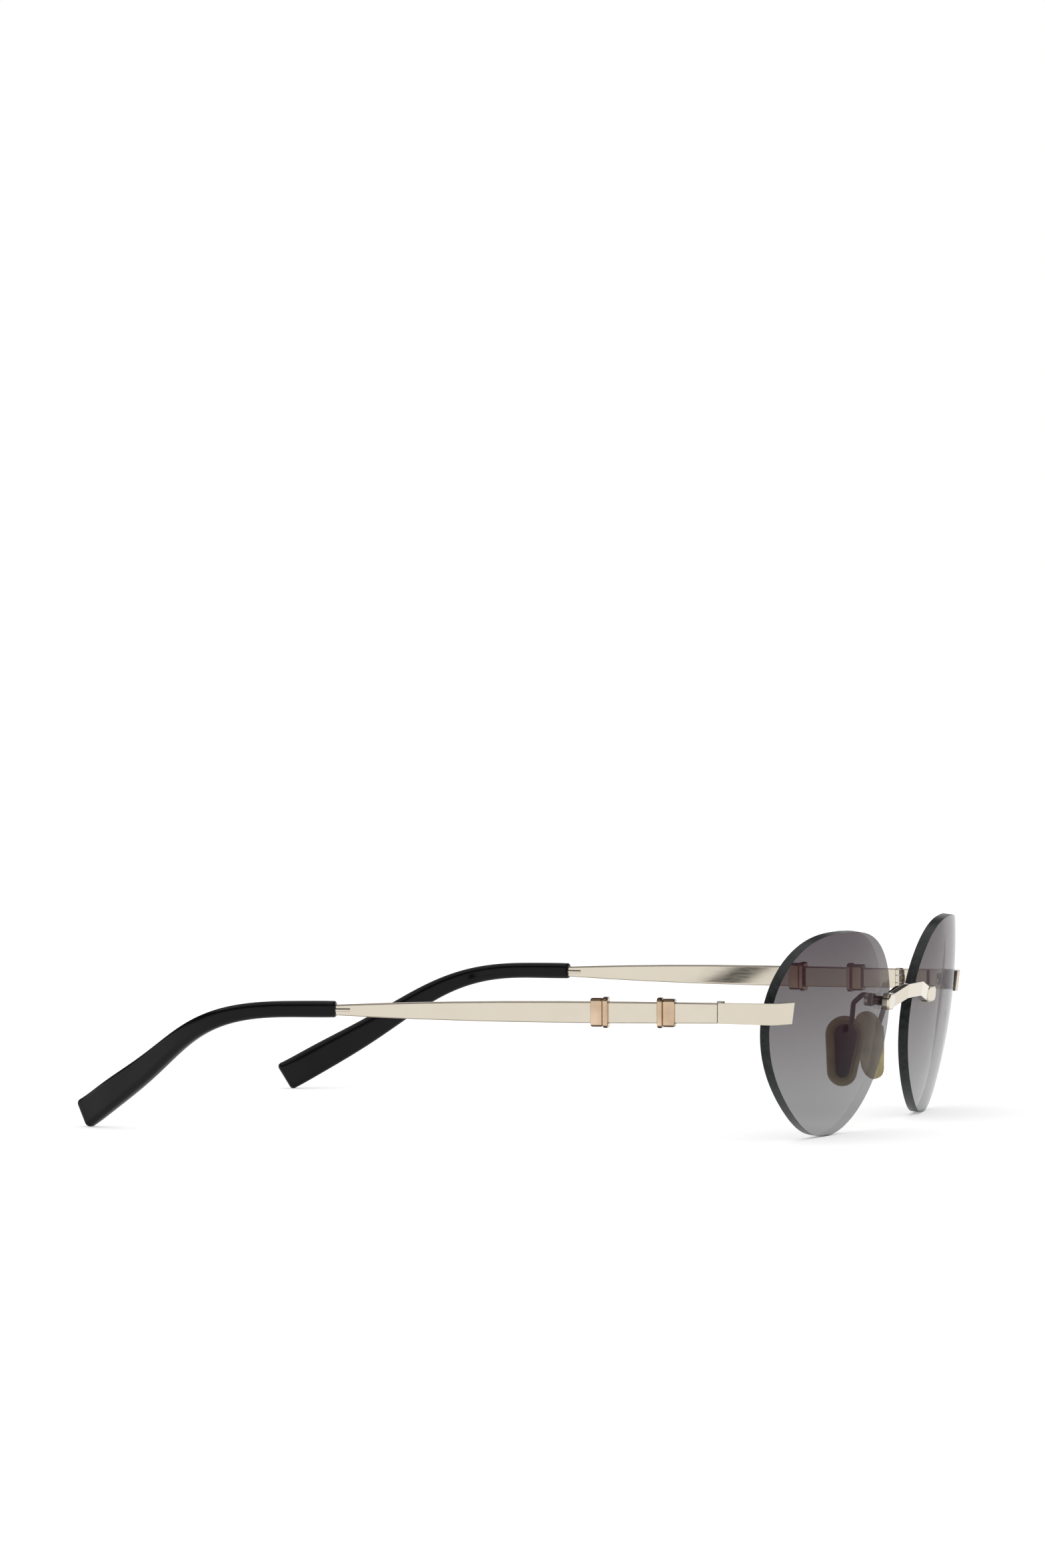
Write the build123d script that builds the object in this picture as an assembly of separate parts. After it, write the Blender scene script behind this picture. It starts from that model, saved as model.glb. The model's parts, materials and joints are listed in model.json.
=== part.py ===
from build123d import *
import os
from math import acos, cos, degrees, pi, radians, sin, sqrt

os.makedirs("parts", exist_ok=True)

# Rimless eyeglasses at rest on the bottoms of both lenses and the ends of both temples.
# Millimetres. +Z is up, the lens fronts face -Y, the temples run to +Y and +X is the
# wearer's left. Each left-hand piece is modelled at +X, then mirrored for the right.

# Front: a three-piece mount, level with the top third of the lenses
HINGE_Y = -58.6          # seam between end piece and temple
HINGE_X = 65.1           # outer face of the bar at the seam
BAR_Z = 26.2             # mid height of end pieces and temples at the seam
BAR_HEIGHT = 4.1
BAR_THICKNESS = 1.2
SEAM_GAP = 0.16

# Lens: 57 mm wide, spherical, leaning forward and wrapped towards the temples
LENS_HALF_WIDTH = 28.4
LENS_HALF_HEIGHT = 20.75
LENS_THICKNESS = 2.0
LENS_RADIUS = 115.8
LENS_APEX = Vector(36.4, HINGE_Y - 17.8, 21.13)
LENS_WRAP = radians(7.8)
LENS_LEAN = radians(7.3)

# Fixings: a post through a drilled lens hole, with a sleeve, a washer and a cap nut
POST_RADIUS = 0.6
HOLE_RADIUS = 0.95
FLANGE_RADIUS = 1.25
FLANGE_THICKNESS = 0.25
WASHER_THICKNESS = 0.3
NUT_RADIUS = 1.3
NUT_HEIGHT = 1.0
NUT_WALL = 0.3
POST_SINK = 0.2          # how far a post reaches into the plate that it is soldered to
EYELET_THICKNESS = 0.6
EYELET_TAIL = Vector(-2.1, 0.5)   # where the wire of the pad arm leaves the eyelet
FIT_GAP = 0.02           # between flat washers and the curved lens
PLATE_GAP = 0.35         # between the lens front and the plates of the mount
END_POST_X = 61.2        # post of an end piece
BRIDGE_POST_X = 14.6     # post of the bridge

# End piece
END_THICKNESS = 1.0
END_OUTER_X = 65.45      # outer face where it passes the lens edge
END_PLATE_X = 58.9       # inboard end of the plate on the lens front
END_BEND = 1.3
END_FRONT_HEIGHT = 4.35

# Bridge
BRIDGE_HEIGHT = 2.9
BRIDGE_THICKNESS = 1.3
BRIDGE_RISE = 1.5
BRIDGE_END_X = 17.0
BRIDGE_STEP_X = 12.6     # where the strap leaves the lens front and starts to rise
BRIDGE_CREST_X = 5.0
BRIDGE_BOSS_LENGTH = 5.4   # rounded block over each lens hole
BRIDGE_BOSS_HEIGHT = 3.35
BRIDGE_BOSS_THICKNESS = 1.55

# Hinge: three knuckles round a vertical screw
PIN_INSET = 2.2          # from the outer face of the bar to the screw axis
KNUCKLE_RADIUS = 0.94
SCREW_RADIUS = 0.5
SCREW_PLAY = 0.05
SCREW_HEAD_RADIUS = 0.8
SCREW_HEAD_HEIGHT = 0.35
SCREW_SLOT = 0.2
KNUCKLE_GAP = 0.08
MIDDLE_KNUCKLE = 1.5
LEAF_LENGTH = 6.0
LEAF_INNER = 0.2         # inner face of a leaf, measured from the screw axis
LEAF_START = 1.02        # where a leaf's full height begins, clear of the other knuckles

# Temple: a flat bar that flares out, then an acetate tip that bends in and down
TEMPLE_FLARE = radians(6.0)
TEMPLE_DIP = radians(0.3)
BAR_LENGTH = 77.8
BAR_PROFILE = [(0.0, 2.05), (27.0, 2.16), (54.0, 1.88), (80.0, 0.95)]   # (along, half height)
STRAIGHT_LENGTH = 90.0
BEND_RADIUS = 32.2
TIP_TURN_IN = radians(26.5)
TIP_TURN_DOWN = radians(31.3)
TIP_STRAIGHT = 33.0
TIP_STATIONS = [          # fraction of the tip's length, height, thickness, lift
    (0.00, 3.30, 2.60, 0.15),
    (0.15, 3.30, 2.65, 0.08),
    (0.30, 3.45, 2.70, -0.04),
    (0.45, 4.00, 2.80, -0.16),
    (0.60, 4.80, 2.90, -0.22),
    (0.75, 5.70, 3.00, -0.16),
    (0.90, 6.25, 2.90, 0.30),
    (1.00, 6.40, 2.70, 0.76),
]
TIP_START_ROUNDING = 0.45
TIP_END_ROUNDING = 0.9
CORE_RADIUS = 0.7
CORE_END_MARGIN = 9.0

# Trim: two plain collars round each temple bar
COLLAR_ALONG = (9.8, 24.4)
COLLAR_LENGTH = 2.5
COLLAR_WALL = 0.65
RING_LENGTH = 1.1
RING_WALL = 0.9
BAND_ROUNDING = 0.42
BAND_PLAY = 0.03          # between a band and the bar

# Nose pads
PAD_CENTRE = Vector(9.6, HINGE_Y - 9.4, 15.6)
PAD_TURN = radians(33.0)
PAD_SPLAY = radians(17.0)
PAD_TOP_RADIUS = 4.1
PAD_BOTTOM_RADIUS = 3.1
PAD_TOP_OFFSET = 3.1
PAD_BOTTOM_OFFSET = -4.3
PAD_THICKNESS = 1.7
PAD_RIM = 1.1
PAD_RECESS = 0.7
PAD_ROUNDING = 0.55
INSERT_THICKNESS = 0.35
CHEEK_GAP = 1.7
CHEEK_THICKNESS = 0.45
CHEEK_LENGTH = 2.6
CHEEK_HEIGHT = 2.6
PIVOT_UP = 2.3           # from the pad's centre towards its top
PIVOT_RISE = 1.65        # of the pivot above the pad's recess
ARM_WIRE = 0.52
ARM_EYE_RADIUS = 0.95
ARM_EYE_THICKNESS = 1.0
PAD_SCREW_RADIUS = 0.35


def unit(x, y, z):
    return Vector(x, y, z).normalized()


# ---- Lens -------------------------------------------------------------------

lens_plane = Plane(
    origin=LENS_APEX,
    x_dir=unit(cos(LENS_WRAP), sin(LENS_WRAP) * cos(LENS_LEAN), sin(LENS_WRAP) * sin(LENS_LEAN)),
    z_dir=unit(sin(LENS_WRAP), -cos(LENS_WRAP) * cos(LENS_LEAN), -cos(LENS_WRAP) * sin(LENS_LEAN)),
)


def outline_point(angle):
    """The lens outline: an ellipse with a flatter top and a slightly narrower bottom."""
    ellipse = 1 / sqrt((cos(angle) / LENS_HALF_WIDTH) ** 2 + (sin(angle) / LENS_HALF_HEIGHT) ** 2)
    egg = 1 + 0.014 * sin(2 * angle) + 0.005 * cos(3 * angle)
    egg += 0.038 * sin(3 * angle) + 0.004 * sin(4 * angle)
    return Vector(ellipse * egg * cos(angle), ellipse * egg * sin(angle))


def front_location(x, z):
    """Where the vertical line x, z meets the lens front: +Z of the location points out of it."""
    guess = lens_plane.to_local_coords(Vector(x, LENS_APEX.Y, z))
    for _ in range(6):
        height = sqrt(LENS_RADIUS ** 2 - guess.X ** 2 - guess.Y ** 2) - LENS_RADIUS
        here = lens_plane.from_local_coords(Vector(guess.X, guess.Y, height))
        step = lens_plane.to_local_coords(Vector(x, here.Y, z))
        guess = Vector(step.X, step.Y, 0)
    height = sqrt(LENS_RADIUS ** 2 - guess.X ** 2 - guess.Y ** 2)
    surface = Plane(
        origin=Vector(guess.X, guess.Y, height - LENS_RADIUS),
        x_dir=Vector(1, 0, -guess.X / height),
        z_dir=Vector(guess.X, guess.Y, height).normalized(),
    )
    return lens_plane.location * surface.location


WASHER_DEPTH = LENS_THICKNESS + FIT_GAP
END_FIXING = front_location(END_POST_X, BAR_Z)
BRIDGE_FIXING = front_location(BRIDGE_POST_X, BAR_Z)
FIXINGS = [END_FIXING, BRIDGE_FIXING]


def make_lens():
    outline = Spline([outline_point(2 * pi * i / 40) for i in range(40)], periodic=True)
    blank = extrude(make_face(outline), amount=6, both=True)
    shell = Sphere(LENS_RADIUS) - Sphere(LENS_RADIUS - LENS_THICKNESS)
    lens = blank & (Pos(0, 0, -LENS_RADIUS) * shell)
    lens = lens_plane.location * lens
    for fixing in FIXINGS:
        lens -= fixing * Cylinder(HOLE_RADIUS, 8)
    return lens


def make_sleeves():
    """Clear sleeves in the two lens holes, each with a flange against the lens front."""
    sleeves = []
    for fixing in FIXINGS:
        barrel = Pos(0, 0, -LENS_THICKNESS / 2) * Cylinder(HOLE_RADIUS, LENS_THICKNESS)
        flange = Pos(0, 0, FLANGE_THICKNESS / 2) * Cylinder(FLANGE_RADIUS, FLANGE_THICKNESS)
        bore = Cylinder(POST_RADIUS, 8)
        sleeves.append(fixing * (barrel + flange - bore))
    return Compound(sleeves)


def make_washers():
    washers = []
    for fixing in FIXINGS:
        ring = Cylinder(FLANGE_RADIUS, WASHER_THICKNESS) - Cylinder(POST_RADIUS, 2)
        washers.append(fixing * Pos(0, 0, -WASHER_DEPTH - WASHER_THICKNESS / 2) * ring)
    return Compound(washers)


def nut_base(fixing):
    """Depth of a nut's seat: the bridge's nut also clamps the eyelet of the pad arm."""
    eyelet = EYELET_THICKNESS if fixing is BRIDGE_FIXING else 0
    return WASHER_DEPTH + WASHER_THICKNESS + eyelet


def make_nuts():
    nuts = []
    for fixing in FIXINGS:
        nut = Cylinder(NUT_RADIUS, NUT_HEIGHT)
        nut = fillet(nut.edges().group_by(Axis.Z)[0], 0.4)
        nut -= Pos(0, 0, NUT_WALL) * Cylinder(POST_RADIUS, NUT_HEIGHT)
        nuts.append(fixing * Pos(0, 0, -nut_base(fixing) - NUT_HEIGHT / 2) * nut)
    return Compound(nuts)


def post(fixing):
    """The threaded post soldered behind a plate, ending inside its cap nut."""
    top = PLATE_GAP + POST_SINK
    length = top + nut_base(fixing) + NUT_HEIGHT - NUT_WALL
    return fixing * Pos(0, 0, top - length / 2) * Cylinder(POST_RADIUS, length)


# ---- End piece --------------------------------------------------------------

def plan_point(x, lift):
    """A point in plan, at a height above the lens front level with the bar."""
    place = front_location(x, BAR_Z) * Pos(0, 0, lift)
    return Vector(place.position.X, place.position.Y)


def ribbon(points, radii, width):
    """A flat strip of constant width that follows a polyline with rounded corners."""
    path = FilletPolyline(*points, radius=radii)
    return make_face(path.offset_2d(width / 2, kind=Kind.ARC, side=Side.BOTH).edges())


def end_strip():
    """The bar from the seam to the lens edge, bent round it onto the lens front."""
    middle = END_THICKNESS / 2
    plate_far = plan_point(END_PLATE_X + middle, PLATE_GAP + middle)
    plate_near = plan_point(END_POST_X + 1.5, PLATE_GAP + middle)
    slope = (plate_near.Y - plate_far.Y) / (plate_near.X - plate_far.X)
    corner_x = END_OUTER_X - middle
    corner = Vector(corner_x, plate_near.Y + slope * (corner_x - plate_near.X))
    back = Vector(HINGE_X - middle, HINGE_Y + 2)
    strip = ribbon([plate_far, corner, back], END_BEND, END_THICKNESS)
    tall = 2 * BAR_HEIGHT
    lean = Vector(0, -sin(LENS_LEAN), cos(LENS_LEAN))
    blank = extrude(Pos(0, 0, BAR_Z) * strip, amount=tall, dir=lean, both=True)
    seam = HINGE_Y - SEAM_GAP / 2
    front = corner.Y - 3
    side = Polygon(
        (seam, BAR_Z - BAR_HEIGHT / 2),
        (seam, BAR_Z + BAR_HEIGHT / 2),
        (front, BAR_Z + END_FRONT_HEIGHT / 2),
        (front, BAR_Z - END_FRONT_HEIGHT / 2),
        align=None,
    )
    outline = extrude(Plane.YZ * side, amount=2 * HINGE_X)
    return blank & outline


def make_end_piece():
    return end_strip() + post(END_FIXING)


# ---- Bridge -----------------------------------------------------------------

def bridge_boss():
    """The rounded block at the end of the bridge, over the lens hole."""
    corner = 0.4 * BRIDGE_BOSS_HEIGHT
    outline = RectangleRounded(BRIDGE_BOSS_LENGTH, BRIDGE_BOSS_HEIGHT, corner)
    boss = extrude(outline, amount=BRIDGE_BOSS_THICKNESS)
    boss = fillet(boss.edges().group_by(Axis.Z)[-1], 0.45)
    return BRIDGE_FIXING * Pos(0, 0, PLATE_GAP) * boss


def make_bridge():
    middle = BRIDGE_THICKNESS / 2
    end_x = BRIDGE_END_X - BRIDGE_HEIGHT / 2
    rise = [
        (end_x, BAR_Z),
        (BRIDGE_STEP_X, BAR_Z),
        (BRIDGE_CREST_X, BAR_Z + BRIDGE_RISE),
    ]
    elevation_points = rise + [(-x, z) for x, z in reversed(rise)]
    elevation = ribbon([Vector(x, z) for x, z in elevation_points], 5.0, BRIDGE_HEIGHT)
    outer = plan_point(BRIDGE_END_X, PLATE_GAP + middle)
    inner = plan_point(BRIDGE_STEP_X, PLATE_GAP + middle + 0.1)
    crest = Vector(BRIDGE_CREST_X, inner.Y - 0.7)
    half = [outer, inner, crest]
    plan_points = half + [Vector(-p.X, p.Y) for p in reversed(half)]
    plan = ribbon(plan_points, 4.0, BRIDGE_THICKNESS)
    lean = Vector(0, -sin(LENS_LEAN), cos(LENS_LEAN))
    solid = extrude(Pos(0, 0, BAR_Z) * plan, amount=8, dir=lean, both=True)
    front = extrude(Plane.XZ * elevation, amount=200, both=True)
    strap = solid & front
    left_end = bridge_boss() + post(BRIDGE_FIXING)
    return strap + left_end + mirror(left_end, about=Plane.YZ)


# ---- Hinge ------------------------------------------------------------------

PIN = Vector(HINGE_X - PIN_INSET, HINGE_Y, BAR_Z)
pin_location = Location(PIN)
BARREL_HALF = BAR_HEIGHT / 2 - 0.1
SIDE_KNUCKLE = BARREL_HALF - MIDDLE_KNUCKLE / 2 - KNUCKLE_GAP


def leaf_plate(reach, outer, low, high, start):
    """A hinge leaf's box beside the screw axis: reach is -1 towards the front, 1 to the back."""
    plate = Box(outer - LEAF_INNER, LEAF_LENGTH - start, high - low)
    centre_y = reach * (start + LEAF_LENGTH) / 2
    return Pos((outer + LEAF_INNER) / 2, centre_y, (low + high) / 2) * plate


def knuckle(low, high):
    return Pos(0, 0, (low + high) / 2) * Cylinder(KNUCKLE_RADIUS, high - low)


def make_front_leaf():
    """The end piece's half of the hinge: top and bottom knuckles on a leaf."""
    outer = PIN_INSET - END_THICKNESS
    leaf = leaf_plate(-1, outer, -BARREL_HALF, BARREL_HALF, LEAF_START)
    for side in (-1, 1):
        ends = sorted((side * (BARREL_HALF - SIDE_KNUCKLE), side * BARREL_HALF))
        web = leaf_plate(-1, KNUCKLE_RADIUS, ends[0], ends[1], 0)
        leaf += knuckle(ends[0], ends[1]) + web
    leaf -= Cylinder(SCREW_RADIUS, 10)
    return pin_location * leaf - end_strip()


def make_temple_leaf():
    """The temple's half of the hinge: the middle knuckle on a leaf."""
    half = MIDDLE_KNUCKLE / 2
    outer = PIN_INSET * cos(TEMPLE_FLARE) - BAR_THICKNESS
    leaf = leaf_plate(1, outer, -BARREL_HALF, BARREL_HALF, LEAF_START)
    leaf += knuckle(-half, half) + leaf_plate(1, KNUCKLE_RADIUS, -half, half, 0)
    leaf -= Cylinder(SCREW_RADIUS + SCREW_PLAY, 10)
    return pin_location * Rot(0, 0, -degrees(TEMPLE_FLARE)) * leaf


def make_hinge_screw():
    shank = Cylinder(SCREW_RADIUS, 2 * BARREL_HALF)
    head = Pos(0, 0, BARREL_HALF + SCREW_HEAD_HEIGHT / 2)
    head = head * Cylinder(SCREW_HEAD_RADIUS, SCREW_HEAD_HEIGHT)
    head = fillet(head.edges().group_by(Axis.Z)[-1], 0.12)
    slot = Pos(0, 0, BARREL_HALF + SCREW_HEAD_HEIGHT) * Box(4, SCREW_SLOT, SCREW_HEAD_HEIGHT)
    return pin_location * (shank + head - slot)


# ---- Temple -----------------------------------------------------------------

def heading(turn_in, down):
    return Vector(-sin(turn_in) * cos(down), cos(turn_in) * cos(down), -sin(down))


ALONG = heading(-TEMPLE_FLARE, TEMPLE_DIP)
TIP_ALONG = heading(TIP_TURN_IN, TIP_TURN_DOWN)
OUTWARD = Vector(cos(TEMPLE_FLARE), -sin(TEMPLE_FLARE), 0)
BEND_ANGLE = acos(ALONG.dot(TIP_ALONG))
BEND_NORMAL = (TIP_ALONG - ALONG * ALONG.dot(TIP_ALONG)).normalized()
TEMPLE_LENGTH = STRAIGHT_LENGTH + BEND_RADIUS * BEND_ANGLE + TIP_STRAIGHT

temple_plane = Plane(
    origin=Vector(HINGE_X, HINGE_Y, BAR_Z),
    x_dir=ALONG,
    z_dir=OUTWARD,
)
AXIS_START = temple_plane.from_local_coords(Vector(0, 0, -BAR_THICKNESS / 2))


def temple_axis(s):
    """Point and direction on the temple's centre line, s from the seam."""
    if s <= STRAIGHT_LENGTH:
        return AXIS_START + ALONG * s, ALONG
    angle = min((s - STRAIGHT_LENGTH) / BEND_RADIUS, BEND_ANGLE)
    corner = AXIS_START + ALONG * STRAIGHT_LENGTH
    point = corner + ALONG * (BEND_RADIUS * sin(angle))
    point += BEND_NORMAL * (BEND_RADIUS * (1 - cos(angle)))
    direction = ALONG * cos(angle) + BEND_NORMAL * sin(angle)
    past = max(s - STRAIGHT_LENGTH - BEND_RADIUS * BEND_ANGLE, 0)
    return point + direction * past, direction


def core_wire():
    """The wire that runs on from the bar inside the tip."""
    end = TEMPLE_LENGTH - CORE_END_MARGIN
    bend_end = STRAIGHT_LENGTH + BEND_RADIUS * BEND_ANGLE
    first, start_direction = temple_axis(BAR_LENGTH - 3)
    a, _ = temple_axis(STRAIGHT_LENGTH)
    b, _ = temple_axis(STRAIGHT_LENGTH + BEND_RADIUS * BEND_ANGLE / 2)
    c, _ = temple_axis(bend_end)
    last, _ = temple_axis(end)
    path = Wire([Line(first, a).edge(), ThreePointArc(a, b, c).edge(), Line(c, last).edge()])
    start = Plane(origin=first, z_dir=start_direction)
    return sweep(start * Circle(CORE_RADIUS), path=path)


def make_temple():
    top = [Vector(s, half) for s, half in BAR_PROFILE]
    bottom = [Vector(s, -half) for s, half in BAR_PROFILE]
    outline = [
        Spline(top),
        Line(top[-1], bottom[-1]),
        Spline(bottom),
        Line(bottom[0], top[0]),
    ]
    bar = extrude(make_face(outline), amount=-BAR_THICKNESS)
    long_edges = bar.edges().filter_by(lambda e: e.length > 70)
    bar = fillet(long_edges, 0.3)
    bar &= Pos(BAR_LENGTH / 2, 0, 0) * Box(BAR_LENGTH, 20, 20)
    bar = temple_plane.location * bar
    clear_of_seam = Pos(HINGE_X, HINGE_Y + SEAM_GAP / 2 + 100, BAR_Z) * Box(100, 200, 20)
    return (bar & clear_of_seam) + core_wire()


def end_edges(solid, point, direction):
    """The edges of a solid that lie in the plane through a point, square to a direction."""
    plane = Plane(origin=point, z_dir=direction)
    return solid.edges().filter_by(
        lambda e: all(abs(plane.to_local_coords(e @ u).Z) < 0.01 for u in (0, 0.5, 1))
    )


def make_tip():
    tip_length = TEMPLE_LENGTH - BAR_LENGTH
    sections = []
    for fraction, height, thickness, lift in TIP_STATIONS:
        point, direction = temple_axis(BAR_LENGTH + fraction * tip_length)
        side = direction.cross(Vector(0, 0, 1)).normalized()
        up = side.cross(direction)
        plane = Plane(origin=point + up * lift, x_dir=side, z_dir=direction)
        corner = 0.42 * thickness
        sections.append(plane * RectangleRounded(thickness, height, corner))
    tip = loft(sections)
    start, start_direction = temple_axis(BAR_LENGTH)
    end, end_direction = temple_axis(TEMPLE_LENGTH)
    tip = fillet(end_edges(tip, start, start_direction), TIP_START_ROUNDING)
    tip = fillet(end_edges(tip, end, end_direction), TIP_END_ROUNDING)
    return tip - core_wire()


# ---- Trim -------------------------------------------------------------------

def on_bar(s):
    """Location at the middle of the bar's section: X along, Y up, Z outward."""
    return temple_plane.location * Pos(s, 0, -BAR_THICKNESS / 2)


def bar_half_height(s):
    for (s0, h0), (s1, h1) in zip(BAR_PROFILE, BAR_PROFILE[1:]):
        if s <= s1:
            return h0 + (h1 - h0) * (s - s0) / (s1 - s0)
    return BAR_PROFILE[-1][1]


def band(s, length, wall):
    """A rounded band that fits closely round the bar, whose height changes under it."""
    height = 2 * max(bar_half_height(s - length / 2), bar_half_height(s + length / 2))
    height += 4 * BAND_PLAY
    depth = BAR_THICKNESS + 2 * BAND_PLAY
    section = Plane.YZ * RectangleRounded(height + 2 * wall, depth + 2 * wall, wall)
    opening = Plane.YZ * Rectangle(height, depth)
    outer = extrude(section, amount=length / 2, both=True)
    rims = outer.edges().filter_by(lambda e: abs(e.center().X) > length / 2 - 0.01)
    outer = fillet(rims, BAND_ROUNDING)
    return on_bar(s) * (outer - extrude(opening, amount=length, both=True))


def collar(s, towards_middle):
    """A wide band with a narrower, taller one beside it, towards the other collar."""
    offset = towards_middle * (COLLAR_LENGTH + RING_LENGTH) / 2
    return band(s, COLLAR_LENGTH, COLLAR_WALL) + band(s + offset, RING_LENGTH, RING_WALL)


def make_collars():
    return Compound([collar(s, turn) for s, turn in zip(COLLAR_ALONG, (1, -1))])


# ---- Nose pads --------------------------------------------------------------

PAD_UP = Vector(-sin(PAD_SPLAY), 0, cos(PAD_SPLAY))
face_out = Vector(cos(PAD_TURN), -sin(PAD_TURN), 0)
PAD_OUT = (face_out - PAD_UP * face_out.dot(PAD_UP)).normalized()
pad_plane = Plane(origin=PAD_CENTRE, x_dir=PAD_UP.cross(PAD_OUT), z_dir=PAD_OUT)
RECESS_Z = PAD_THICKNESS / 2 - PAD_RECESS
PIVOT = pad_plane.from_local_coords(Vector(0, PIVOT_UP, RECESS_Z + PIVOT_RISE))


def pad_outline(shrink):
    top = Pos(0, PAD_TOP_OFFSET) * Circle(PAD_TOP_RADIUS - shrink)
    bottom = Pos(0, PAD_BOTTOM_OFFSET) * Circle(PAD_BOTTOM_RADIUS - shrink)
    return make_hull((top + bottom).edges())


def make_nose_pad():
    pad = extrude(pad_outline(0), amount=PAD_THICKNESS / 2, both=True)
    pad = fillet(pad.edges(), PAD_ROUNDING)
    recess = extrude(pad_outline(PAD_RIM), amount=PAD_THICKNESS)
    return pad_plane.location * (pad - Pos(0, 0, RECESS_Z) * recess)


def make_pad_insert():
    """The metal plate in a pad's recess, with the two cheeks that hold the arm's eye."""
    plate = extrude(pad_outline(PAD_RIM + 0.6), amount=INSERT_THICKNESS)
    for side in (-1, 1):
        cheek = Box(CHEEK_THICKNESS, CHEEK_LENGTH, CHEEK_HEIGHT)
        x = side * (CHEEK_GAP + CHEEK_THICKNESS) / 2
        plate += Pos(x, PIVOT_UP, CHEEK_HEIGHT / 2) * cheek
    hole = Pos(0, PIVOT_UP, PIVOT_RISE) * Rot(0, 90, 0) * Cylinder(PAD_SCREW_RADIUS, 6)
    return pad_plane.location * Pos(0, 0, RECESS_Z) * (plate - hole)


def make_pad_screw():
    length = CHEEK_GAP + 2 * CHEEK_THICKNESS
    shank = Cylinder(PAD_SCREW_RADIUS, length)
    head = Pos(0, 0, length / 2 + 0.15) * Cylinder(0.65, 0.3)
    screw = shank + head
    place = pad_plane.location * Pos(0, PIVOT_UP, RECESS_Z + PIVOT_RISE) * Rot(0, 90, 0)
    return place * screw


def make_pad_arm():
    """An eyelet under the bridge's nut, a bent wire, and an eye between the pad's cheeks."""
    depth = WASHER_DEPTH + WASHER_THICKNESS + EYELET_THICKNESS / 2
    tail = Pos(EYELET_TAIL.X, EYELET_TAIL.Y) * Circle(ARM_WIRE + 0.1)
    eyelet = make_hull((Circle(FLANGE_RADIUS + 0.1) + tail).edges())
    eyelet = extrude(eyelet, amount=EYELET_THICKNESS / 2, both=True)
    eyelet = BRIDGE_FIXING * Pos(0, 0, -depth) * eyelet
    root = (BRIDGE_FIXING * Pos(EYELET_TAIL.X, EYELET_TAIL.Y, -depth)).position
    points = [
        root,
        root + Vector(-0.2, 2.3, 0.4),
        root + Vector(-0.6, 4.4, -1.4),
        PIVOT + PAD_OUT * 1.9 + PAD_UP * 3.3,
        PIVOT,
    ]
    path = FilletPolyline(*points, radius=1.25)
    start = Plane(origin=path @ 0, z_dir=path % 0)
    wire = sweep(start * Circle(ARM_WIRE), path=path)
    eye = Rot(0, 90, 0) * Cylinder(ARM_EYE_RADIUS, ARM_EYE_THICKNESS)
    pivot_location = pad_plane.location * Pos(0, PIVOT_UP, RECESS_Z + PIVOT_RISE)
    arm = eyelet + wire + pivot_location * eye
    arm -= BRIDGE_FIXING * Cylinder(POST_RADIUS, 12)
    arm -= pivot_location * Rot(0, 90, 0) * Cylinder(PAD_SCREW_RADIUS + SCREW_PLAY, 6)
    return arm


# ---- Export -----------------------------------------------------------------

LEFT_PIECES = {
    "lens": make_lens,
    "lens_sleeves": make_sleeves,
    "lens_washers": make_washers,
    "lens_nuts": make_nuts,
    "end_piece": make_end_piece,
    "hinge_front_leaf": make_front_leaf,
    "hinge_temple_leaf": make_temple_leaf,
    "hinge_screw": make_hinge_screw,
    "temple": make_temple,
    "temple_tip": make_tip,
    "trim_collars": make_collars,
    "pad_arm": make_pad_arm,
    "pad_insert": make_pad_insert,
    "pad_screw": make_pad_screw,
    "nose_pad": make_nose_pad,
}

pieces = {"bridge": make_bridge()}
for name, make in LEFT_PIECES.items():
    left = make()
    pieces[name + "_left"] = left
    pieces[name + "_right"] = mirror(left, about=Plane.YZ)

for name, piece in pieces.items():
    export_step(piece, f"parts/{name}.step")
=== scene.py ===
import json
from math import cos, radians, sin

import bpy
from mathutils import Matrix, Vector


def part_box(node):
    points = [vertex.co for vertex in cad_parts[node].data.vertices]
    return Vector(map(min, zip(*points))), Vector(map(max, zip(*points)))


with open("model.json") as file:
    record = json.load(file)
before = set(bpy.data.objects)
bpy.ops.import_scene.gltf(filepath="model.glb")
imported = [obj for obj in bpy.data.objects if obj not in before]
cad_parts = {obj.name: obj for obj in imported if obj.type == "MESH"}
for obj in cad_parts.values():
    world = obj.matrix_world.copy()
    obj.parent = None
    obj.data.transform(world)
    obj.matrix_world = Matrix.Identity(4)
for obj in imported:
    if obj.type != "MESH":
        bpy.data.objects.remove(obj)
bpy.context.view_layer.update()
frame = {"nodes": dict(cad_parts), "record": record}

# Rimless eyeglasses: camera, soft studio, and a procedural material for every piece.
# Metres, in the CAD frame: the glasses stand on z = 0 and the lens fronts face -Y.

MM = 0.001
nodes = frame["nodes"]


# ---- Camera: long lens, low, from the wearer's right and a little in front -------------

VIEW_TURN = radians(19.0)        # camera direction, measured from +X towards +Y
VIEW_DROP = radians(3.6)         # how far the camera looks down
DISTANCE = 1651 * MM
TARGET = Vector((0, 4.5, 18.4)) * MM
FOCAL_MM = 182.5
SHIFT_Y = 0.1548                 # the glasses sit in the lower part of the frame


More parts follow.
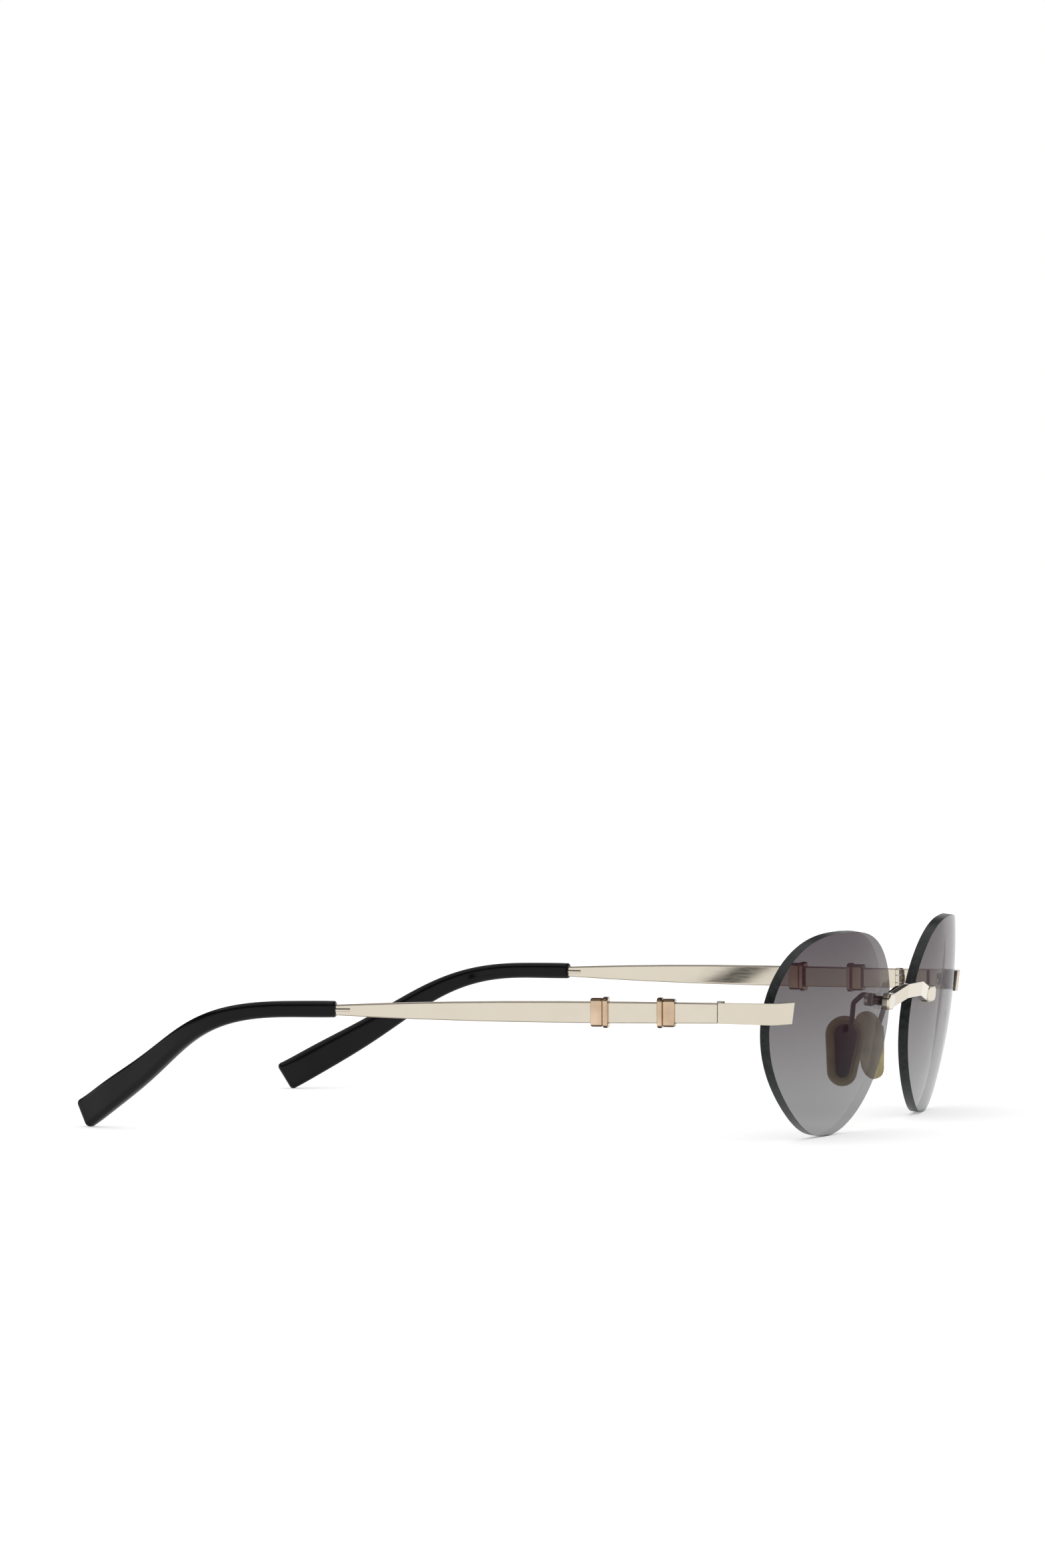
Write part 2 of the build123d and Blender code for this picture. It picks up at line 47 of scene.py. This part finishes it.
def make_camera():
    forward = Vector((
        cos(VIEW_TURN) * cos(VIEW_DROP), sin(VIEW_TURN) * cos(VIEW_DROP), -sin(VIEW_DROP)
    ))
    right = Vector((sin(VIEW_TURN), -cos(VIEW_TURN), 0))
    up = right.cross(forward)
    data = bpy.data.cameras.new("camera")
    data.lens = FOCAL_MM
    data.sensor_width = 36
    data.shift_y = SHIFT_Y
    data.clip_start = 0.05
    data.clip_end = 100
    camera = bpy.data.objects.new("camera", data)
    bpy.context.scene.collection.objects.link(camera)
    rotation = Matrix((right, up, -forward)).transposed().to_4x4()
    camera.matrix_world = Matrix.Translation(TARGET - forward * DISTANCE) @ rotation
    bpy.context.scene.camera = camera


make_camera()


# ---- Studio ------------------------------------------------------------------------------

def node_tree(owner):
    owner.use_nodes = True
    owner.node_tree.nodes.clear()
    return owner.node_tree


def add(tree, kind, **inputs):
    """A node of that kind, with its sockets set by name."""
    node = tree.nodes.new(kind)
    for name, value in inputs.items():
        node.inputs[name.replace("_", " ")].default_value = value
    return node


# Brightness of the surroundings by direction: (component of the direction, grey)
HEIGHT_GRADE = ((-1.0, 0.9), (0.20, 0.98), (0.30, 0.12), (0.62, 0.07), (0.70, 1.0), (1.0, 1.0))
SIDE_GRADE = ((-1.0, 1.0), (-0.80, 1.0), (-0.72, 0.10), (-0.52, 0.10), (-0.45, 1.0),
              (0.70, 1.0), (0.78, 0.7), (0.90, 0.7), (0.94, 1.0), (1.0, 1.0))


def grade(tree, component, stops):
    """Grey steps along one component of the direction, which runs from -1 to 1."""
    half = add(tree, "ShaderNodeMath")
    half.operation = "MULTIPLY_ADD"
    half.inputs[1].default_value = 0.5
    half.inputs[2].default_value = 0.5
    tree.links.new(component, half.inputs[0])
    grey = tree.nodes.new("ShaderNodeValToRGB")
    elements = grey.color_ramp.elements
    while len(elements) < len(stops):
        elements.new(0.5)
    for element, (value, level) in zip(elements, stops):
        element.position = (value + 1) / 2
        element.color = (level, level, level, 1)
    tree.links.new(half.outputs[0], grey.inputs[0])
    return grey.outputs["Color"]


def make_world():
    """White for the camera and through the lenses; graded for reflections in the metal."""
    world = bpy.data.worlds.new("studio")
    bpy.context.scene.world = world
    tree = node_tree(world)
    link = tree.links.new
    place = tree.nodes.new("ShaderNodeTexCoord")
    split = tree.nodes.new("ShaderNodeSeparateXYZ")
    link(place.outputs["Generated"], split.inputs[0])
    upward = grade(tree, split.outputs["Z"], HEIGHT_GRADE)
    sideways = grade(tree, split.outputs["Y"], SIDE_GRADE)
    both = tree.nodes.new("ShaderNodeMixRGB")
    both.blend_type = "MULTIPLY"
    both.inputs["Fac"].default_value = 1.0
    link(upward, both.inputs["Color1"])
    link(sideways, both.inputs["Color2"])
    path = tree.nodes.new("ShaderNodeLightPath")
    reflected = add(tree, "ShaderNodeBackground", Strength=1.0)
    link(both.outputs[0], reflected.inputs["Color"])
    plain = add(tree, "ShaderNodeBackground", Color=(1, 1, 1, 1), Strength=1.0)
    mix = tree.nodes.new("ShaderNodeMixShader")
    link(path.outputs["Is Glossy Ray"], mix.inputs[0])
    link(plain.outputs[0], mix.inputs[1])
    link(reflected.outputs[0], mix.inputs[2])
    output = tree.nodes.new("ShaderNodeOutputWorld")
    link(mix.outputs[0], output.inputs[0])


FLOOR_HALF = 6.0
PAPER_GREY = (0.80, 0.80, 0.80, 1)
PAPER_GLOW = 0.32                # lifts the paper to white and softens the shadows on it


def make_floor():
    """White paper that the glasses stand on."""
    half = FLOOR_HALF
    mesh = bpy.data.meshes.new("floor")
    corners = [(-half, -half, 0), (half, -half, 0), (half, half, 0), (-half, half, 0)]
    mesh.from_pydata(corners, [], [(0, 1, 2, 3)])
    floor = bpy.data.objects.new("floor", mesh)
    bpy.context.scene.collection.objects.link(floor)
    material = bpy.data.materials.new("floor_paper")
    tree = node_tree(material)
    paper = add(tree, "ShaderNodeBsdfPrincipled", Base_Color=PAPER_GREY, Roughness=0.9)
    paper.inputs["Specular IOR Level"].default_value = 0.0
    paper.inputs["Emission Color"].default_value = (1, 1, 1, 1)
    paper.inputs["Emission Strength"].default_value = PAPER_GLOW
    output = tree.nodes.new("ShaderNodeOutputMaterial")
    tree.links.new(paper.outputs[0], output.inputs[0])
    mesh.materials.append(material)


def soft_box(name, place, aim, width, height, power):
    """A rectangular area light at a place, turned towards its aim."""
    data = bpy.data.lights.new(name, "AREA")
    data.shape = "RECTANGLE"
    data.size = width
    data.size_y = height
    data.energy = power
    light = bpy.data.objects.new(name, data)
    bpy.context.scene.collection.objects.link(light)
    light.location = place
    light.rotation_euler = (Vector(aim) - Vector(place)).to_track_quat("-Z", "Y").to_euler()


KEY_PLACE = (-0.1, 0.1, 1.4)
KEY_SIZE = 0.7
KEY_POWER = 0.9

make_world()
make_floor()
soft_box("key_top", KEY_PLACE, (0, 0, 0), KEY_SIZE, KEY_SIZE, KEY_POWER)
bpy.context.scene.view_settings.view_transform = "Standard"


# ---- Materials -----------------------------------------------------------------------------

def shader(name, **values):
    """A material with one Principled shader; returns the material, its tree and the shader."""
    material = bpy.data.materials.new(name)
    tree = node_tree(material)
    surface = tree.nodes.new("ShaderNodeBsdfPrincipled")
    for key, value in values.items():
        surface.inputs[key.replace("_", " ")].default_value = value
    output = tree.nodes.new("ShaderNodeOutputMaterial")
    tree.links.new(surface.outputs[0], output.inputs[0])
    return material, tree, surface


def noise(tree, scale, detail=3.0, stretch=(1, 1, 1)):
    """A noise value placed by object coordinates, with scale in features per metre."""
    place = tree.nodes.new("ShaderNodeTexCoord")
    mapping = tree.nodes.new("ShaderNodeMapping")
    mapping.inputs["Scale"].default_value = stretch
    texture = add(tree, "ShaderNodeTexNoise", Scale=scale, Detail=detail)
    tree.links.new(place.outputs["Object"], mapping.inputs[0])
    tree.links.new(mapping.outputs[0], texture.inputs["Vector"])
    return texture.outputs["Fac"]


def ramp(tree, value, stops):
    """A colour ramp of (position, colour) stops driven by a value."""
    node = tree.nodes.new("ShaderNodeValToRGB")
    elements = node.color_ramp.elements
    while len(elements) < len(stops):
        elements.new(0.5)
    for element, (position, colour) in zip(elements, stops):
        element.position = position
        element.color = (*colour, 1)
    tree.links.new(value, node.inputs[0])
    return node.outputs["Color"]


def remap(tree, value, low, high):
    """A value from 0 to 1, stretched to run from low to high."""
    node = tree.nodes.new("ShaderNodeMapRange")
    node.inputs["To Min"].default_value = low
    node.inputs["To Max"].default_value = high
    tree.links.new(value, node.inputs["Value"])
    return node.outputs["Result"]


def bump(tree, surface, value, strength, distance, rounding=0.0):
    node = tree.nodes.new("ShaderNodeBump")
    node.inputs["Strength"].default_value = strength
    node.inputs["Distance"].default_value = distance
    tree.links.new(value, node.inputs["Height"])
    if rounding:
        edge = tree.nodes.new("ShaderNodeBevel")
        edge.samples = 6
        edge.inputs["Radius"].default_value = rounding
        tree.links.new(edge.outputs[0], node.inputs["Normal"])
    tree.links.new(node.outputs[0], surface.inputs["Normal"])


def facing_level(tree):
    """How far a face looks up or down: 0 for an upright face, 1 for a level one."""
    geometry = tree.nodes.new("ShaderNodeNewGeometry")
    split = tree.nodes.new("ShaderNodeSeparateXYZ")
    tree.links.new(geometry.outputs["Normal"], split.inputs[0])
    size = tree.nodes.new("ShaderNodeMath")
    size.operation = "ABSOLUTE"
    tree.links.new(split.outputs["Z"], size.inputs[0])
    return size.outputs[0]


def polished_metal(name, colour, dark, roughness, rounding, painted_level_shade):
    """Polished plate: fine polishing marks, faint colour drift, and painted shade: a darker base
    colour on faces that look up or down, standing in for dark reflections.
    """
    material, tree, surface = shader(name, Metallic=1.0)
    drift = noise(tree, 180, 4)
    base = ramp(tree, drift, [(0.35, dark), (0.65, colour)])
    # Painted shade: faces that look up or down get their base colour multiplied by this darker
    # colour.
    shade = ramp(tree, facing_level(tree), [(0.25, (1, 1, 1)), (0.6, painted_level_shade)])
    both = tree.nodes.new("ShaderNodeMixRGB")
    both.blend_type = "MULTIPLY"
    both.inputs["Fac"].default_value = 1.0
    tree.links.new(base, both.inputs["Color1"])
    tree.links.new(shade, both.inputs["Color2"])
    tree.links.new(both.outputs[0], surface.inputs["Base Color"])
    marks = noise(tree, 2600, 5, (1, 0.12, 1))
    tree.links.new(remap(tree, marks, roughness * 0.6, roughness * 1.5), surface.inputs["Roughness"])
    bump(tree, surface, marks, 0.015, 0.00001, rounding)
    return material


def tinted_lens():
    """Smoke tint that fades from the top down, seen through with a faint surface haze."""
    material, tree, surface = shader("lens_smoke_gradient", Roughness=0.03, IOR=1.56)
    surface.inputs["Specular IOR Level"].default_value = 0.02
    place = tree.nodes.new("ShaderNodeTexCoord")
    split = tree.nodes.new("ShaderNodeSeparateXYZ")
    tree.links.new(place.outputs["Object"], split.inputs[0])
    height = tree.nodes.new("ShaderNodeMapRange")
    low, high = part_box("lens_left")
    height.inputs["From Min"].default_value = low.z
    height.inputs["From Max"].default_value = high.z
    tree.links.new(split.outputs["Z"], height.inputs["Value"])
    shade = height.outputs["Result"]
    tint = ramp(tree, shade, [
        (0.0, (0.010, 0.014, 0.024)), (0.45, (0.026, 0.010, 0.014)), (1.0, (0.030, 0.005, 0.018))
    ])
    tree.links.new(tint, surface.inputs["Base Color"])
    haze = noise(tree, 60, 2)
    tree.links.new(remap(tree, haze, 0.02, 0.05), surface.inputs["Roughness"])
    alpha = remap(tree, shade, 0.43, 0.71)
    tree.links.new(alpha, surface.inputs["Alpha"])
    return material


def lens_edge():
    """The polished edge of the lens: dark green-grey with fine grinding lines."""
    material, tree, surface = shader("lens_edge_polish", IOR=1.5)
    surface.inputs["Specular IOR Level"].default_value = 0.2
    lines = noise(tree, 900, 4, (0.3, 1.0, 1.0))
    base = ramp(tree, lines, [(0.3, (0.004, 0.005, 0.005)), (0.7, (0.016, 0.019, 0.020))])
    tree.links.new(base, surface.inputs["Base Color"])
    tree.links.new(remap(tree, lines, 0.22, 0.42), surface.inputs["Roughness"])
    side = tree.nodes.new("ShaderNodeNewGeometry")    # half clear seen from inside the lens
    tree.links.new(remap(tree, side.outputs["Backfacing"], 1.0, 0.5), surface.inputs["Alpha"])
    bump(tree, surface, lines, 0.1, 0.00003)
    return material


def acetate():
    """Polished black acetate, faintly cloudy."""
    material, tree, surface = shader("tip_black_acetate", IOR=1.5)
    surface.inputs["Specular IOR Level"].default_value = 0.16
    cloud = noise(tree, 120, 4)
    base = ramp(tree, cloud, [(0.3, (0.001, 0.001, 0.0015)), (0.8, (0.004, 0.004, 0.005))])
    tree.links.new(base, surface.inputs["Base Color"])
    tree.links.new(remap(tree, noise(tree, 1500, 4), 0.05, 0.12), surface.inputs["Roughness"])
    bump(tree, surface, noise(tree, 300, 2), 0.03, 0.00002, 0.0004)
    return material


def silicone():
    """Soft clear silicone, slightly yellow, cloudy towards the inside."""
    material, tree, surface = shader("pad_silicone", IOR=1.43)
    cloud = noise(tree, 350, 3)
    base = ramp(tree, cloud, [(0.25, (0.26, 0.21, 0.09)), (0.75, (0.50, 0.42, 0.22))])
    tree.links.new(base, surface.inputs["Base Color"])
    tree.links.new(remap(tree, cloud, 0.25, 0.40), surface.inputs["Roughness"])
    surface.inputs["Transmission Weight"].default_value = 0.45
    bump(tree, surface, noise(tree, 1200, 3), 0.08, 0.00003, 0.0002)
    return material


def clear_plastic():
    """Milky clear plastic for the sleeves and washers."""
    material, tree, surface = shader("sleeve_clear_plastic", IOR=1.49)
    cloud = noise(tree, 500, 2)
    base = ramp(tree, cloud, [(0.3, (0.55, 0.56, 0.56)), (0.8, (0.80, 0.80, 0.78))])
    tree.links.new(base, surface.inputs["Base Color"])
    tree.links.new(remap(tree, cloud, 0.15, 0.3), surface.inputs["Roughness"])
    surface.inputs["Transmission Weight"].default_value = 0.6
    return material


# The last colour given to each metal is its painted shade for faces that look up or down.
gold = polished_metal("frame_pale_gold", (0.640, 0.585, 0.490), (0.625, 0.568, 0.470), 0.07, 0.00025,
                      (0.42, 0.38, 0.36))
rose = polished_metal("trim_rose_gold", (0.66, 0.50, 0.36), (0.50, 0.37, 0.25), 0.06, 0.0001,
                      (0.07, 0.045, 0.03))
dark = polished_metal("wire_dark_gold", (0.05, 0.040, 0.022), (0.02, 0.015, 0.008), 0.08, 0.0001,
                      (0.5, 0.45, 0.4))
BY_SLOT = {
    "frame_metal": gold,
    "trim_metal": rose,
    "dark_metal": dark,
    "lens_tint": tinted_lens(),
    "tip_acetate": acetate(),
    "pad_silicone": silicone(),
    "clear_plastic": clear_plastic(),
}
EDGE = lens_edge()

for part in frame["record"]["subparts"]:
    mesh = nodes[part["node"]].data
    mesh.materials.clear()
    mesh.materials.append(BY_SLOT[part["material_slot"]])


LENS_WRAP = radians(7.8)         # how far a lens turns towards its temple
LENS_LEAN = radians(7.3)         # how far its front leans down
RIM_FACING = 0.6                 # a rim face looks less than this much along the lens's axis


def finish_lens(side, node):
    """The rim of the lens gets the edge material: its faces look across the lens, not along it."""
    front = Vector((
        side * sin(LENS_WRAP), -cos(LENS_WRAP) * cos(LENS_LEAN), -cos(LENS_WRAP) * sin(LENS_LEAN)
    ))
    mesh = nodes[node].data
    mesh.materials.append(EDGE)
    for face in mesh.polygons:
        if abs(face.normal.dot(front)) < RIM_FACING:
            face.material_index = 1


finish_lens(1, "lens_left")
finish_lens(-1, "lens_right")
